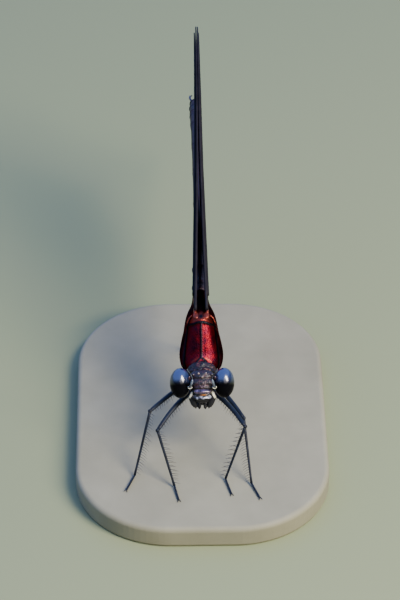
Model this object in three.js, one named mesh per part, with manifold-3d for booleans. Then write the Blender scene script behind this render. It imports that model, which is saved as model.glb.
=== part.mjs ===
// A life-size male copper demoiselle, a broad-winged damselfly, standing with its wings closed over its back.
// Millimetres, +Z up. The origin is the middle of the base's underside. The head looks towards -Y.
import * as THREE from "three";
import { mergeVertices } from "three/addons/utils/BufferGeometryUtils.js";
import Module from "manifold-3d";

const wasm = await Module();
wasm.setup();

// Driving sizes
const GAP = 0.3; // between touching nodes
const BASE = { width: 24, length: 34, thick: 2.2, bevel: 0.5, corner: 9 };
const FOOT_LEVEL = BASE.thick + GAP;
const HEAD_HEIGHT = 8.1; // middle of the head above the soles
const HEAD_BACK = -6; // middle of the head along Y
const BODY_PITCH = 10; // degrees that the thorax leans nose down
const HEAD_PITCH = 15; // degrees that the face looks up
const LEG_RADIUS = 0.25;
const WING = { length: 31, chord: 9.2, root: 1.3, tipDrop: 3.6, bends: 0.6, widest: 0.63, membrane: 0.22, vein: 0.27 };
const WING_LAYERS = { fore: 0.4, hind: 1.2, spread: 0.24, closesAt: 10 };
const ABDOMEN_START = 11.8; // behind the middle of the head, along the body

const rad = THREE.MathUtils.degToRad;
const vec = (x, y, z) => new THREE.Vector3(x, y, z);
const headMiddle = vec(0, HEAD_BACK, FOOT_LEVEL + HEAD_HEIGHT);

// A point of the thorax, given as its distances to the side, tailwards and up from the middle of the head.
function bodyPoint(side, back, up) {
  const c = Math.cos(rad(BODY_PITCH));
  const s = Math.sin(rad(BODY_PITCH));
  return vec(side, back * c - up * s, back * s + up * c).add(headMiddle);
}

// A point of the head, given as its distances to the side, towards the face and up from the head's middle.
function headPoint(side, forward, up) {
  const c = Math.cos(rad(HEAD_PITCH));
  const s = Math.sin(rad(HEAD_PITCH));
  return vec(side, -forward * c + up * s, forward * s + up * c).add(headMiddle);
}

// A point given straight from the middle of the head along the part's own axes.
const nearHead = (x, y, z) => vec(x, y, z).add(headMiddle);

// Solids and cuts
function solid(geometry) {
  const bare = geometry.index ? geometry.toNonIndexed() : geometry.clone();
  bare.deleteAttribute("normal");
  bare.deleteAttribute("uv");
  const merged = mergeVertices(bare, 1e-4);
  const triVerts = new Uint32Array(merged.index.array);
  const vertProperties = new Float32Array(merged.attributes.position.array);
  const made = new wasm.Manifold(new wasm.Mesh({ numProp: 3, vertProperties, triVerts }));
  if (made.volume() > 0) return made;
  const flipped = triVerts.map((v, i, all) => all[i - (i % 3) + [0, 2, 1][i % 3]]);
  return new wasm.Manifold(new wasm.Mesh({ numProp: 3, vertProperties, triVerts: flipped }));
}

const join = (pieces) => pieces.reduce((whole, piece) => whole.add(piece));

// The largest closed surface of a solid, so that a cut leaves no scraps.
function largest(cut) {
  return cut.decompose().sort((a, b) => b.volume() - a.volume())[0];
}

function geometryOf(made) {
  const { numProp, vertProperties, triVerts } = made.getMesh();
  const position = new Float32Array((vertProperties.length / numProp) * 3);
  for (let i = 0; i < position.length / 3; i++)
    position.set(vertProperties.subarray(i * numProp, i * numProp + 3), i * 3);
  return new THREE.BufferGeometry()
    .setAttribute("position", new THREE.BufferAttribute(position, 3))
    .setIndex(new THREE.BufferAttribute(new Uint32Array(triVerts), 1));
}

// A closed skin over rings of points, each with a fan at its end.
function loft(rings) {
  const around = rings[0].length;
  const points = rings.flat();
  const faces = [];
  const at = (i, j) => i * around + (j % around);
  for (let i = 0; i + 1 < rings.length; i++)
    for (let j = 0; j < around; j++)
      faces.push(at(i, j), at(i, j + 1), at(i + 1, j + 1), at(i, j), at(i + 1, j + 1), at(i + 1, j));
  const middles = [rings[0], rings.at(-1)].map((ring) => {
    const middle = ring.reduce((sum, p) => sum.add(p), vec(0, 0, 0)).divideScalar(around);
    return points.push(middle) - 1;
  });
  for (let j = 0; j < around; j++) {
    faces.push(middles[0], at(0, j + 1), at(0, j));
    faces.push(middles[1], at(rings.length - 1, j), at(rings.length - 1, j + 1));
  }
  return solid(new THREE.BufferGeometry().setFromPoints(points).setIndex(faces));
}

// A round-ended rod along points with a radius at each.
function rod(points, radii, sides = 8) {
  const rings = points.map((p, i) => {
    const before = points[Math.max(i - 1, 0)];
    const after = points[Math.min(i + 1, points.length - 1)];
    const along = after.clone().sub(before).normalize();
    const across = Math.abs(along.z) > 0.9 ? vec(1, 0, 0) : vec(0, 0, 1);
    const u = across.clone().cross(along).normalize();
    const v = along.clone().cross(u);
    return Array.from({ length: sides }, (_, j) => {
      const turn = ((j + 0.5) * 2 * Math.PI) / sides;
      return p
        .clone()
        .addScaledVector(u, Math.cos(turn) * radii[i])
        .addScaledVector(v, Math.sin(turn) * radii[i]);
    });
  });
  return loft(rings);
}

// An ellipsoid in the head's or the thorax's own directions.
function ellipsoid(place, middle, radii, grow = 0, segments = [18, 12]) {
  const sphere = new THREE.SphereGeometry(1, ...segments);
  const position = sphere.getAttribute("position");
  for (let i = 0; i < position.count; i++) {
    const at = [position.getX(i), position.getY(i), position.getZ(i)];
    const p = place(...at.map((a, k) => middle[k] + a * (radii[k] + grow)));
    position.setXYZ(i, p.x, p.y, p.z);
  }
  return solid(sphere);
}

const part = new THREE.Group();

function addNode(name, made, colour, roughness, metalness) {
  const material = new THREE.MeshStandardMaterial({ color: colour, roughness, metalness });
  const mesh = new THREE.Mesh(geometryOf(made), material);
  mesh.name = name;
  part.add(mesh);
}

// The insect's own sides
const SIDES = [
  { word: "left", sign: 1 },
  { word: "right", sign: -1 },
];

// Head: skull between the eyes, vertex, brow, nose-like clypeus and upper lip
const SKULL = { middle: [0, -0.05, 0], radii: [1.9, 1.0, 1.28] };
const FACE = [
  { middle: [0, 0.05, 0.72], radii: [1.15, 0.78, 0.62] }, // vertex
  { middle: [0, 0.42, 0.12], radii: [1.28, 0.78, 0.68] }, // frons
  { middle: [0, 0.86, -0.3], radii: [0.95, 0.64, 0.38] }, // postclypeus
  { middle: [0, 0.62, -0.72], radii: [0.82, 0.68, 0.42] }, // anteclypeus
  { middle: [0, 0.88, -1.08], radii: [0.88, 0.6, 0.44] }, // upper lip
  { middle: [0, 0.2, -1.15], radii: [1.1, 0.85, 0.72] }, // cheeks and gape
];
const EYE = { middle: [2.05, -0.1, 0.02], radii: [0.95, 1.2, 1.4] };
const skullOf = (grow) =>
  join([SKULL, ...FACE].map(({ middle, radii }) => ellipsoid(headPoint, middle, radii, grow)));
const grownHead = skullOf(GAP);

addNode("head", largest(skullOf(0)), 0x2a1a20, 0.35, 0.5);
for (const { word, sign } of SIDES) {
  const middle = [EYE.middle[0] * sign, EYE.middle[1], EYE.middle[2]];
  const eye = ellipsoid(headPoint, middle, EYE.radii, 0, [22, 14]);
  addNode(`eye_${word}`, largest(eye.subtract(grownHead)), 0x08080c, 0.12, 0.0);
}

// Antennae: a stout base, then a bristle that bends outwards
for (const { word, sign } of SIDES) {
  const feeler = rod(
    [
      headPoint(0.95 * sign, 0.9, 0.05),
      headPoint(0.95 * sign, 1.4, 0.45),
      headPoint(1.0 * sign, 1.65, 1.0),
      headPoint(1.15 * sign, 1.8, 1.55),
      headPoint(1.4 * sign, 1.85, 2.1),
    ],
    [0.27, 0.26, 0.24, 0.18, 0.08],
  );
  addNode(`antenna_${word}`, largest(feeler.subtract(grownHead)), 0x1c2230, 0.4, 0.2);
}

// Jaws and lower lip below the face
for (const { word, sign } of SIDES) {
  const jaw = ellipsoid(headPoint, [0.78 * sign, 0.72, -1.75], [0.36, 0.5, 0.62], 0, [14, 10]);
  addNode(`mandible_${word}`, largest(jaw.subtract(grownHead)), 0x141216, 0.3, 0.3);
}
const lip = ellipsoid(headPoint, [0, -0.25, -2.25], [0.8, 0.62, 0.42], 0, [18, 10]);
addNode("labium", largest(lip.subtract(grownHead)), 0x141216, 0.4, 0.2);

// Thorax: cross-sections along the body, from the leg side up to the ridge between the two front plates
const SECTION_POINTS = 26;
function section({ back, top, bottom, half, roof = 0 }) {
  const middle = (top + bottom) / 2;
  const tall = (top - bottom) / 2;
  return Array.from({ length: SECTION_POINTS }, (_, j) => {
    const turn = (j / SECTION_POINTS) * 2 * Math.PI;
    const rise = Math.cos(turn);
    const slope = rise > 0 ? 1 - roof * rise * Math.abs(Math.sin(turn)) : 1;
    const ridge = j === 0 ? roof * 0.35 : 0;
    return bodyPoint(half * Math.sin(turn) * slope, back, middle + tall * rise + ridge);
  });
}

const PROTHORAX_END = 2.65;
const THORAX = [
  { back: PROTHORAX_END + GAP, top: -0.25, bottom: -2.3, half: 1.25 },
  { back: 3.3, top: 0.0, bottom: -2.85, half: 1.85, roof: 0.1 },
  { back: 3.8, top: 0.5, bottom: -3.2, half: 2.05, roof: 0.25 },
  { back: 4.5, top: 1.2, bottom: -3.5, half: 2.1, roof: 0.35 },
  { back: 5.2, top: 1.85, bottom: -3.65, half: 2.05, roof: 0.35 },
  { back: 5.9, top: 2.35, bottom: -3.6, half: 1.95, roof: 0.25 },
  { back: 6.6, top: 2.45, bottom: -3.45, half: 1.85, roof: 0.1 },
  { back: 7.4, top: 2.3, bottom: -3.2, half: 1.75 },
  { back: 8.2, top: 2.05, bottom: -2.95, half: 1.55 },
  { back: 9.0, top: 1.75, bottom: -2.7, half: 1.3 },
  { back: 9.9, top: 1.3, bottom: -2.35, half: 1.05 },
  { back: 10.8, top: 0.65, bottom: -1.95, half: 0.9 },
  { back: 11.5, top: 0.1, bottom: -1.6, half: 0.8 },
];

// Legs: where each leaves the body, its knee, its ankle and its toe, from the middle of the head
const LEGS = [
  { pair: "front", word: "left", hip: [0.7, 2.0, -2.3], knee: [3.96, -2.94, -2.87], ankle: [2.13, -4.24], toe: [2.66, -6.33] },
  { pair: "front", word: "right", hip: [-0.7, 2.0, -2.3], knee: [-4.2, -2.65, -3.5], ankle: [-2.68, -5.14], toe: [-2.28, -7.1] },
  { pair: "middle", word: "left", hip: [1.0, 4.1, -3.1], knee: [3.89, -1.1, -3.4], ankle: [4.55, -4.9], toe: [5.3, -6.9] },
  { pair: "middle", word: "right", hip: [-1.0, 4.1, -3.1], knee: [-4.9, -0.55, -2.9], ankle: [-6.4, -3.6], toe: [-7.2, -5.6] },
  { pair: "hind", word: "left", hip: [0.9, 6.1, -3.3], knee: [1.4, 12.2, -2.7], ankle: [1.65, 15.0], toe: [1.65, 17.1] },
  { pair: "hind", word: "right", hip: [-0.9, 6.1, -3.3], knee: [-1.25, 12.2, -2.7], ankle: [-1.45, 15.3], toe: [-1.4, 17.4] },
];
const SOLE_MIDDLE = LEG_RADIUS - HEAD_HEIGHT; // height of a tarsus's axis from the middle of the head

// A stout coxa from inside the thorax to just short of the femur
function coxa({ hip }) {
  const end = nearHead(...hip);
  const start = end.clone().add(vec(-0.15 * Math.sign(hip[0]), 0.5, 1.6));
  const stop = end.clone().lerp(start, GAP / start.distanceTo(end));
  return rod([start, start.clone().lerp(stop, 0.6), stop], [0.62, 0.55, 0.42], 10);
}

const coxaeOf = (...pairs) => LEGS.filter((leg) => pairs.includes(leg.pair)).map(coxa);

// The room that the thighs need, a gap wider than they are
const THIGH = [0.3, 0.36, 0.3, 0.28, 0.2];
const legClearance = join(
  LEGS.map(({ hip, knee }) => {
    const [from, to] = [nearHead(...hip), nearHead(...knee)];
    const before = from.clone().lerp(to, -GAP / from.distanceTo(to));
    return rod([before, to], [THIGH[1] + GAP, THIGH[1] + GAP]);
  }),
);

// Wings: a curved sheet with raised veins, closed upwards over the back
const DIRECTION = { fore: 30, hind: 27 }; // degrees above level
const ROOT = { fore: bodyPoint(0, 6.7, 2.75), hind: bodyPoint(0, 9.0, 2.25) };
const LENGTH = { fore: WING.length, hind: WING.length - 1 };
const VEINS = [0.08, 0.2, 0.36, 0.52, 0.68, 0.84]; // shares of the chord
const VEIN_HALF = 0.017;
const SPAN_STEPS = 18;
const TIP_SHARE = 0.9985; // of the span, where the rim closes the tip

const alongWing = (pair) => vec(0, Math.cos(rad(DIRECTION[pair])), Math.sin(rad(DIRECTION[pair])));
const downWing = (pair) => vec(0, Math.sin(rad(DIRECTION[pair])), -Math.cos(rad(DIRECTION[pair])));

// Distance of the front and hind margins below the line of the leading edge, at a share t of the span.
function margins(t) {
  const forward = Math.max(0, (t - WING.bends) / (1 - WING.bends));
  const front = WING.tipDrop * (1 - Math.max(0, 1 - forward ** 2.2) ** (1 / 2.2));
  const grown = Math.sin((Math.PI / 2) * Math.min(1, t / WING.widest)) ** 1.15;
  const tail = Math.max(0, (t - WING.widest) / (1 - WING.widest));
  const round = Math.max(0, 1 - tail ** 2.5) ** (1 / 2.5);
  const full = WING.root + (WING.chord - WING.root) * grown;
  return { front, hind: WING.tipDrop + (full - WING.tipDrop) * (t > WING.widest ? round : 1) };
}

// How far a wing's sheet stands from the middle plane: the four wings close towards their tips.
function layer(pair, point) {
  const out = point.clone().sub(ROOT.fore).dot(alongWing("fore"));
  const open = Math.max(0, 1 - Math.max(out, 0) / WING_LAYERS.closesAt) ** 2;
  return WING_LAYERS[pair] + WING_LAYERS.spread * open;
}

// The wing's sheet with its veins or, where it grows into the room that the wing needs, plain.
function wing(pair, sign, grow = 0) {
  const columns = [{ share: 0, vein: true }];
  if (grow === 0) {
    columns.push({ share: 0.03 });
    for (const share of VEINS)
      columns.push({ share: share - VEIN_HALF }, { share, vein: true }, { share: share + VEIN_HALF });
    columns.push({ share: 0.97 });
  }
  columns.push({ share: 1, vein: true });
  const faces = { inner: [], outer: [] };
  for (let i = 0; i <= SPAN_STEPS; i++) {
    const t = Math.sin(((i / SPAN_STEPS) * Math.PI) / 2) * TIP_SHARE;
    const { front, hind } = margins(t);
    const out = t * LENGTH[pair] + (i === 0 ? -grow : i === SPAN_STEPS ? grow : 0);
    for (const { share, vein } of columns) {
      const down = front - grow + (hind - front + 2 * grow) * share;
      const point = ROOT[pair].clone().addScaledVector(alongWing(pair), out).addScaledVector(downWing(pair), down);
      const half = (vein ? WING.vein : WING.membrane) + grow;
      const middle = layer(pair, point);
      faces.inner.push(vec((middle - half) * sign, point.y, point.z));
      faces.outer.push(vec((middle + half) * sign, point.y, point.z));
    }
  }
  const wide = columns.length;
  const count = faces.inner.length;
  const index = [];
  const quad = (a, b, c, d) => index.push(a, b, c, a, c, d);
  for (let i = 0; i < SPAN_STEPS; i++)
    for (let j = 0; j + 1 < wide; j++) {
      const [a, b, c, d] = [i * wide + j, i * wide + j + 1, (i + 1) * wide + j + 1, (i + 1) * wide + j];
      quad(a, b, c, d);
      index.push(a + count, c + count, b + count, a + count, d + count, c + count);
    }
  const rim = [];
  for (let j = 0; j < wide; j++) rim.push(j);
  for (let i = 1; i <= SPAN_STEPS; i++) rim.push(i * wide + wide - 1);
  for (let j = wide - 2; j >= 0; j--) rim.push(SPAN_STEPS * wide + j);
  for (let i = SPAN_STEPS - 1; i > 0; i--) rim.push(i * wide);
  rim.forEach((a, k) => {
    const b = rim[(k + 1) % rim.length];
    quad(b, a, a + count, b + count);
  });
  const points = [...faces.inner, ...faces.outer];
  return solid(new THREE.BufferGeometry().setFromPoints(points).setIndex(index));
}

const PAIRS = ["fore", "hind"];
const wingClearance = join(PAIRS.flatMap((pair) => SIDES.map(({ sign }) => wing(pair, sign, GAP))));

// A low boss on the back that each wing grows from
function wingBoss(pair, sign) {
  const middle = layer(pair, ROOT[pair]) * sign;
  const [back, up] = pair === "fore" ? [6.55, 2.15] : [8.75, 1.55];
  return ellipsoid(bodyPoint, [middle, back, up], [0.45, 1.0, 0.85], 0, [14, 10]);
}

const neck = rod([bodyPoint(0, 0.5, -0.1), bodyPoint(0, 1.2, -0.4), bodyPoint(0, 2.2, -0.8)], [0.6, 0.6, 0.8], 12);
const prothorax = loft(
  [
    { back: 1.45, top: 0.0, bottom: -1.5, half: 0.85 },
    { back: 1.8, top: 0.15, bottom: -1.9, half: 1.15 },
    { back: 2.3, top: 0.2, bottom: -2.1, half: 1.25 },
    { back: PROTHORAX_END, top: 0.05, bottom: -2.15, half: 1.2 },
  ].map(section),
);
const collar = join([prothorax, neck, ...coxaeOf("front")]);
addNode("prothorax", largest(collar.subtract(grownHead).subtract(legClearance)), 0x33181e, 0.4, 0.5);

const bosses = PAIRS.flatMap((pair) => SIDES.map(({ sign }) => wingBoss(pair, sign)));
const thorax = join([loft(THORAX.map(section)), ...coxaeOf("middle", "hind"), ...bosses]);
addNode("thorax", largest(thorax.subtract(wingClearance).subtract(legClearance)), 0x6b1420, 0.35, 0.6);

for (const pair of PAIRS)
  for (const { word, sign } of SIDES) addNode(`${pair}wing_${word}`, wing(pair, sign), 0x17131a, 0.35, 0.1);

// Each leg is a thigh, a shin and a foot, a gap apart at the knee and the ankle
const SHIN = [0.2, 0.27, 0.25, 0.25, 0.2];
const FOOT = { at: [0, 0.1, 0.8, 1], radii: [0.25, 0.27, 0.27, 0.14], sides: 8 };
const JOINT_CLEAR = 2 * LEG_RADIUS + 0.1;
const LEG_LOOK = [0x10131c, 0.4, 0.2]; // colour, roughness, metalness
function between(from, to, clearStart, clearEnd) {
  const along = to.clone().sub(from).normalize();
  return [from.clone().addScaledVector(along, clearStart), to.clone().addScaledVector(along, -clearEnd)];
}

function limb([start, end], radii) {
  const points = [0, 0.06, 0.5, 0.94, 1].map((t) => start.clone().lerp(end, t));
  return rod(points, radii);
}

for (const leg of LEGS) {
  const name = `${leg.pair}_leg_${leg.word}`;
  const hip = nearHead(...leg.hip);
  const knee = nearHead(...leg.knee);
  const ankle = nearHead(...leg.ankle, SOLE_MIDDLE);
  const toe = nearHead(...leg.toe, SOLE_MIDDLE);
  addNode(`${name}_femur`, limb([hip, knee], THIGH), ...LEG_LOOK);
  addNode(`${name}_tibia`, limb(between(knee, ankle, JOINT_CLEAR, 0.1), SHIN), ...LEG_LOOK);
  const [heel, tip] = between(ankle, toe, JOINT_CLEAR, 0);
  const toOuterCorners = 1 / Math.cos(Math.PI / FOOT.sides); // so that its lowest flat is at the foot's radius
  const sole = FOOT.at.map((t) => heel.clone().lerp(tip, t));
  addNode(`${name}_tarsus`, rod(sole, FOOT.radii.map((r) => r * toOuterCorners), FOOT.sides), ...LEG_LOOK);
}

// Abdomen: ten segments along a slightly drooping line, each flared at its hind rim
const SEGMENTS = [
  { long: 1.0, radius: 0.82 },
  { long: 2.6, radius: 0.78 },
  { long: 5.0, radius: 0.58 },
  { long: 5.4, radius: 0.52 },
  { long: 5.2, radius: 0.52 },
  { long: 4.8, radius: 0.54 },
  { long: 4.0, radius: 0.58 },
  { long: 2.2, radius: 0.66 },
  { long: 1.7, radius: 0.68 },
  { long: 1.1, radius: 0.62 },
];
const ABDOMEN_NODES = [
  { name: "abdomen_base", first: 0, last: 1 },
  { name: "abdomen_front", first: 2, last: 3 },
  { name: "abdomen_middle", first: 4, last: 5 },
  { name: "abdomen_rear", first: 6, last: 7 },
  { name: "abdomen_tip", first: 8, last: 9 },
];
const ABDOMEN_LENGTH = SEGMENTS.reduce((sum, { long }) => sum + long, 0);
const ABDOMEN_SLOPE = { start: 5, end: -6 }; // degrees above level
const abdomenRoot = bodyPoint(0, ABDOMEN_START, -0.75);

// A point of the abdomen's axis at a distance from its root, and the upright direction there.
function abdomenAxis(distance) {
  const turn = rad(ABDOMEN_SLOPE.end - ABDOMEN_SLOPE.start) / ABDOMEN_LENGTH;
  const start = rad(ABDOMEN_SLOPE.start);
  const now = start + turn * distance;
  const y = (Math.sin(now) - Math.sin(start)) / turn;
  const z = (Math.cos(start) - Math.cos(now)) / turn;
  return { point: vec(0, y, z).add(abdomenRoot), up: vec(0, -Math.sin(now), Math.cos(now)) };
}

function abdomenRing(distance, radius) {
  const { point, up } = abdomenAxis(distance);
  return Array.from({ length: 14 }, (_, j) => {
    const turn = (j / 14) * 2 * Math.PI;
    return point
      .clone()
      .addScaledVector(up, Math.cos(turn) * radius * 1.06)
      .add(vec(Math.sin(turn) * radius, 0, 0));
  });
}

const segmentStart = (k) => SEGMENTS.slice(0, k).reduce((sum, { long }) => sum + long, 0);
const RIM = 0.22;
for (const { name, first, last } of ABDOMEN_NODES) {
  const rings = [];
  for (let k = first; k <= last; k++) {
    const { long, radius } = SEGMENTS[k];
    const start = segmentStart(k);
    const stop = start + long - (k === last ? GAP : 0);
    rings.push(abdomenRing(start, radius * 0.86));
    rings.push(abdomenRing(start + RIM, radius * 0.98));
    rings.push(abdomenRing(stop - 2 * RIM, radius));
    rings.push(abdomenRing(stop - 0.05, radius * 1.09));
  }
  rings.push(abdomenRing(segmentStart(last) + SEGMENTS[last].long - GAP, SEGMENTS[last].radius * 0.9));
  addNode(name, loft(rings), 0x3a1a22, 0.35, 0.6);
}

// The claspers at the tip curve in like tongs
const tailEnd = abdomenAxis(ABDOMEN_LENGTH).point;
for (const { word, sign } of SIDES) {
  const clasper = rod(
    [
      [0.36, 0, 0.1],
      [0.62, 0.5, 0.16],
      [0.68, 1.05, 0.14],
      [0.4, 1.5, 0.06],
    ].map(([x, y, z]) => tailEnd.clone().add(vec(x * sign, y, z))),
    [0.24, 0.26, 0.24, 0.12],
  );
  addNode(`clasper_${word}`, clasper, 0x141216, 0.4, 0.3);
}

// Base: a flat plate with round corners and a bevelled upper edge
function baseOutline(inset) {
  const { width, length, corner } = BASE;
  const steps = 8;
  const corners = [
    [1, 1, 0],
    [-1, 1, 90],
    [-1, -1, 180],
    [1, -1, 270],
  ];
  return corners.flatMap(([sx, sy, from]) =>
    Array.from({ length: steps + 1 }, (_, k) => {
      const turn = rad(from + (90 * k) / steps);
      const x = sx * (width / 2 - corner) + Math.cos(turn) * (corner - inset);
      const y = sy * (length / 2 - corner) + Math.sin(turn) * (corner - inset);
      return [x, y];
    }),
  );
}

const baseLevels = [
  [0.3, 0],
  [0, 0.3],
  [0, BASE.thick - BASE.bevel],
  [BASE.bevel, BASE.thick],
];
const base = loft(baseLevels.map(([inset, z]) => baseOutline(inset).map(([x, y]) => vec(x, y, z))));
addNode("stand_base", base, 0xd8d4cc, 0.6, 0.0);

export default part;
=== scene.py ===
"""A male copper demoiselle at life size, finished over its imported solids.

Its cuticle, eyes, veined wings and bristly legs stand for the solids, on a painted display base.
"""

import math
import random

import bpy
import numpy as np
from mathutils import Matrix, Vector, noise


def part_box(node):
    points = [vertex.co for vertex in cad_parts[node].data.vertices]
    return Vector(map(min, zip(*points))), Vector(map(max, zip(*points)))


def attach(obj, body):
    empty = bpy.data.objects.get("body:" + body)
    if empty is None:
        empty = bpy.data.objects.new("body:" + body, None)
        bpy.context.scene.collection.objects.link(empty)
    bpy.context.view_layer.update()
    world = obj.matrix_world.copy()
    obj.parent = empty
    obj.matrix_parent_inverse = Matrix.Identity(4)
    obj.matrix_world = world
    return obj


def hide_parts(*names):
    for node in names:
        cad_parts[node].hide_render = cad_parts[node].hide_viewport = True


bl_info = {
    "name": "Copper Demoiselle",
    "version": (1, 0, 0),
    "blender": (4, 5, 0),
    "location": "View3D > Sidebar > Demoiselle",
    "description": "Builds a life-size damselfly with veined wings on a display base",
    "category": "Add Mesh",
}

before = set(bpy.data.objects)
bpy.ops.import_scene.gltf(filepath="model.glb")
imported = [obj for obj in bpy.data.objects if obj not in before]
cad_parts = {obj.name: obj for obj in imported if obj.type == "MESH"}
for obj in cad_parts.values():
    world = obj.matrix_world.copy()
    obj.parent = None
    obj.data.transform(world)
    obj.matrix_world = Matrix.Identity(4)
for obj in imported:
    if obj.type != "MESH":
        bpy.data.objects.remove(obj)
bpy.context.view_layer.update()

MM = 0.001
SIDES = {"left": 1, "right": -1}  # the insect's own sides, its head towards -Y

# Places in millimetres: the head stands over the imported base, and all else is counted from it.
base_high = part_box("stand_base")[1] / MM
SOLE_GAP = 0.3
HEAD_ABOVE_SOLES = 8.1
HEAD = np.array([0.0, -6.0, base_high.z + SOLE_GAP + HEAD_ABOVE_SOLES])
BODY_PITCH = math.radians(10)
HEAD_PITCH = math.radians(15)


def body_point(side, back, up):
    """Points of the thorax from their distances to the side, tailwards and up from the middle of the head."""
    side, back, up = np.broadcast_arrays(*(np.asarray(v, float) for v in (side, back, up)))
    c, s = math.cos(BODY_PITCH), math.sin(BODY_PITCH)
    return np.stack([side, back * c - up * s, back * s + up * c], -1) + HEAD


def head_point(side, forward, up):
    """Points of the head from their distances to the side, towards the face and up from its middle."""
    side, forward, up = np.broadcast_arrays(*(np.asarray(v, float) for v in (side, forward, up)))
    c, s = math.cos(HEAD_PITCH), math.sin(HEAD_PITCH)
    return np.stack([side, -forward * c + up * s, forward * s + up * c], -1) + HEAD


def head_places(points):
    """Distances of points to the side, towards the face and up from the middle of the head."""
    side, y, z = (points - HEAD).T
    c, s = math.cos(HEAD_PITCH), math.sin(HEAD_PITCH)
    return side, z * s - y * c, y * s + z * c


class ViewSettings(bpy.types.PropertyGroup):
    """The camera's place and its lens."""

    elevation: bpy.props.FloatProperty(
        name="Elevation", description="Camera above the floor", default=math.radians(38), subtype="ANGLE"
    )
    azimuth: bpy.props.FloatProperty(
        name="Azimuth", description="Camera round the insect", default=math.radians(-0.9), subtype="ANGLE"
    )
    distance: bpy.props.FloatProperty(
        name="Distance", description="Camera to the insect's head", default=0.28, unit="LENGTH"
    )
    lens: bpy.props.FloatProperty(name="Lens", description="Focal length", default=180.0, unit="CAMERA")
    rise: bpy.props.FloatProperty(
        name="Rise", description="The picture's middle above the head", default=0.00775, unit="LENGTH"
    )
    drift: bpy.props.FloatProperty(
        name="Drift", description="The picture's middle right of the head", default=-0.0002, unit="LENGTH"
    )


class WingSettings(bpy.types.PropertyGroup):
    """Sizes of the four wings."""

    length: bpy.props.FloatProperty(
        name="Length", description="Forewing from root to tip", default=0.0315, unit="LENGTH"
    )
    chord: bpy.props.FloatProperty(name="Chord", description="Greatest width", default=0.0092, unit="LENGTH")
    cell: bpy.props.FloatProperty(
        name="Cell", description="Distance between neighbouring veins", default=0.00046, unit="LENGTH"
    )
    membrane: bpy.props.FloatProperty(
        name="Membrane", description="Thickness between the veins", default=0.00005, unit="LENGTH"
    )
    colour: bpy.props.FloatVectorProperty(
        name="Colour", description="Smoky brown membrane", default=(0.03, 0.017, 0.014), subtype="COLOR"
    )


class CuticleSettings(bpy.types.PropertyGroup):
    """Colours of the hard skin."""

    copper: bpy.props.FloatVectorProperty(
        name="Copper", description="Metallic red chest plates", default=(0.13, 0.005, 0.01), subtype="COLOR"
    )
    violet: bpy.props.FloatVectorProperty(
        name="Violet", description="Deeper tone of the copper", default=(0.035, 0.005, 0.014), subtype="COLOR"
    )
    seam: bpy.props.FloatVectorProperty(
        name="Seam", description="Near black of the seams", default=(0.012, 0.012, 0.015), subtype="COLOR"
    )
    spot: bpy.props.FloatVectorProperty(
        name="Pale spot", description="Straw yellow marks", default=(0.58, 0.56, 0.4), subtype="COLOR"
    )
    amber: bpy.props.FloatVectorProperty(
        name="Amber", description="Orange brown on the face", default=(0.42, 0.15, 0.02), subtype="COLOR"
    )
    rust: bpy.props.FloatVectorProperty(
        name="Rust", description="Orange red at the wing roots", default=(0.34, 0.06, 0.025), subtype="COLOR"
    )


class LegSettings(bpy.types.PropertyGroup):
    """Sizes of the legs and their bristles."""

    thigh: bpy.props.FloatProperty(
        name="Thigh", description="Radius of a thigh", default=0.00023, unit="LENGTH"
    )
    shin: bpy.props.FloatProperty(name="Shin", description="Radius of a shin", default=0.00013, unit="LENGTH")
    bristle: bpy.props.FloatProperty(
        name="Bristle", description="Length of a shin's bristles", default=0.00092, unit="LENGTH"
    )
    colour: bpy.props.FloatVectorProperty(
        name="Colour", description="Blue black of the legs", default=(0.005, 0.006, 0.009), subtype="COLOR"
    )


def placed(name, data):
    """A new object of the scene that shows the data."""
    shown = bpy.data.objects.new(name, data)
    bpy.context.scene.collection.objects.link(shown)
    return shown


def add_piece(name, vertices, faces, material, slot, nodes=(), smooth=True, **attributes):
    """A mesh piece from points in millimetres, riding on the body and standing for CAD nodes."""
    mesh = bpy.data.meshes.new(name)
    mesh.from_pydata((np.asarray(vertices) * MM).tolist(), [], [list(map(int, f)) for f in faces])
    mesh.validate()
    for key, values in attributes.items():
        layer = mesh.attributes.new(key, "FLOAT", "POINT")
        layer.data.foreach_set("value", np.asarray(values, np.float32))
    mesh.polygons.foreach_set("use_smooth", [smooth] * len(mesh.polygons))
    mesh.materials.append(material)
    piece = placed(name, mesh)
    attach(piece, "root")
    if nodes:
        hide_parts(*nodes)
    return piece


def unwrapped(piece, places):
    """Lays the points of a piece out on a map, each at its own place."""
    layer = piece.data.uv_layers.new(name="OFBake")
    corners = np.empty(len(piece.data.loops), np.int32)
    piece.data.loops.foreach_get("vertex_index", corners)
    layer.data.foreach_set("uv", places[corners].astype(np.float32).ravel())


def joined(parts):
    """One list of points and one of faces from several."""
    vertices, faces, start = [], [], 0
    for points, polygons in parts:
        vertices.append(np.asarray(points, float))
        faces.extend([[i + start for i in polygon] for polygon in polygons])
        start += len(points)
    return np.concatenate(vertices), faces


def skin_of(rings):
    """A closed skin over rings of points, with a fan at each end."""
    rings = np.asarray(rings, float)
    count, around = rings.shape[:2]
    points = np.concatenate([rings.reshape(-1, 3), rings[0].mean(0)[None], rings[-1].mean(0)[None]])
    faces = []
    for i in range(count - 1):
        for j in range(around):
            k = (j + 1) % around
            faces.append([i * around + j, i * around + k, (i + 1) * around + k, (i + 1) * around + j])
    first, last = count * around, count * around + 1
    for j in range(around):
        k = (j + 1) % around
        faces.append([first, k, j])
        faces.append([last, (count - 1) * around + j, (count - 1) * around + k])
    return outward(points, faces)


def outward(points, faces):
    """The same closed mesh with its faces turned to look out."""
    volume = 0.0
    for face in faces:
        a = points[face[0]]
        for j in range(1, len(face) - 1):
            volume += np.dot(a, np.cross(points[face[j]], points[face[j + 1]]))
    return (points, faces) if volume > 0 else (points, [face[::-1] for face in faces])


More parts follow.
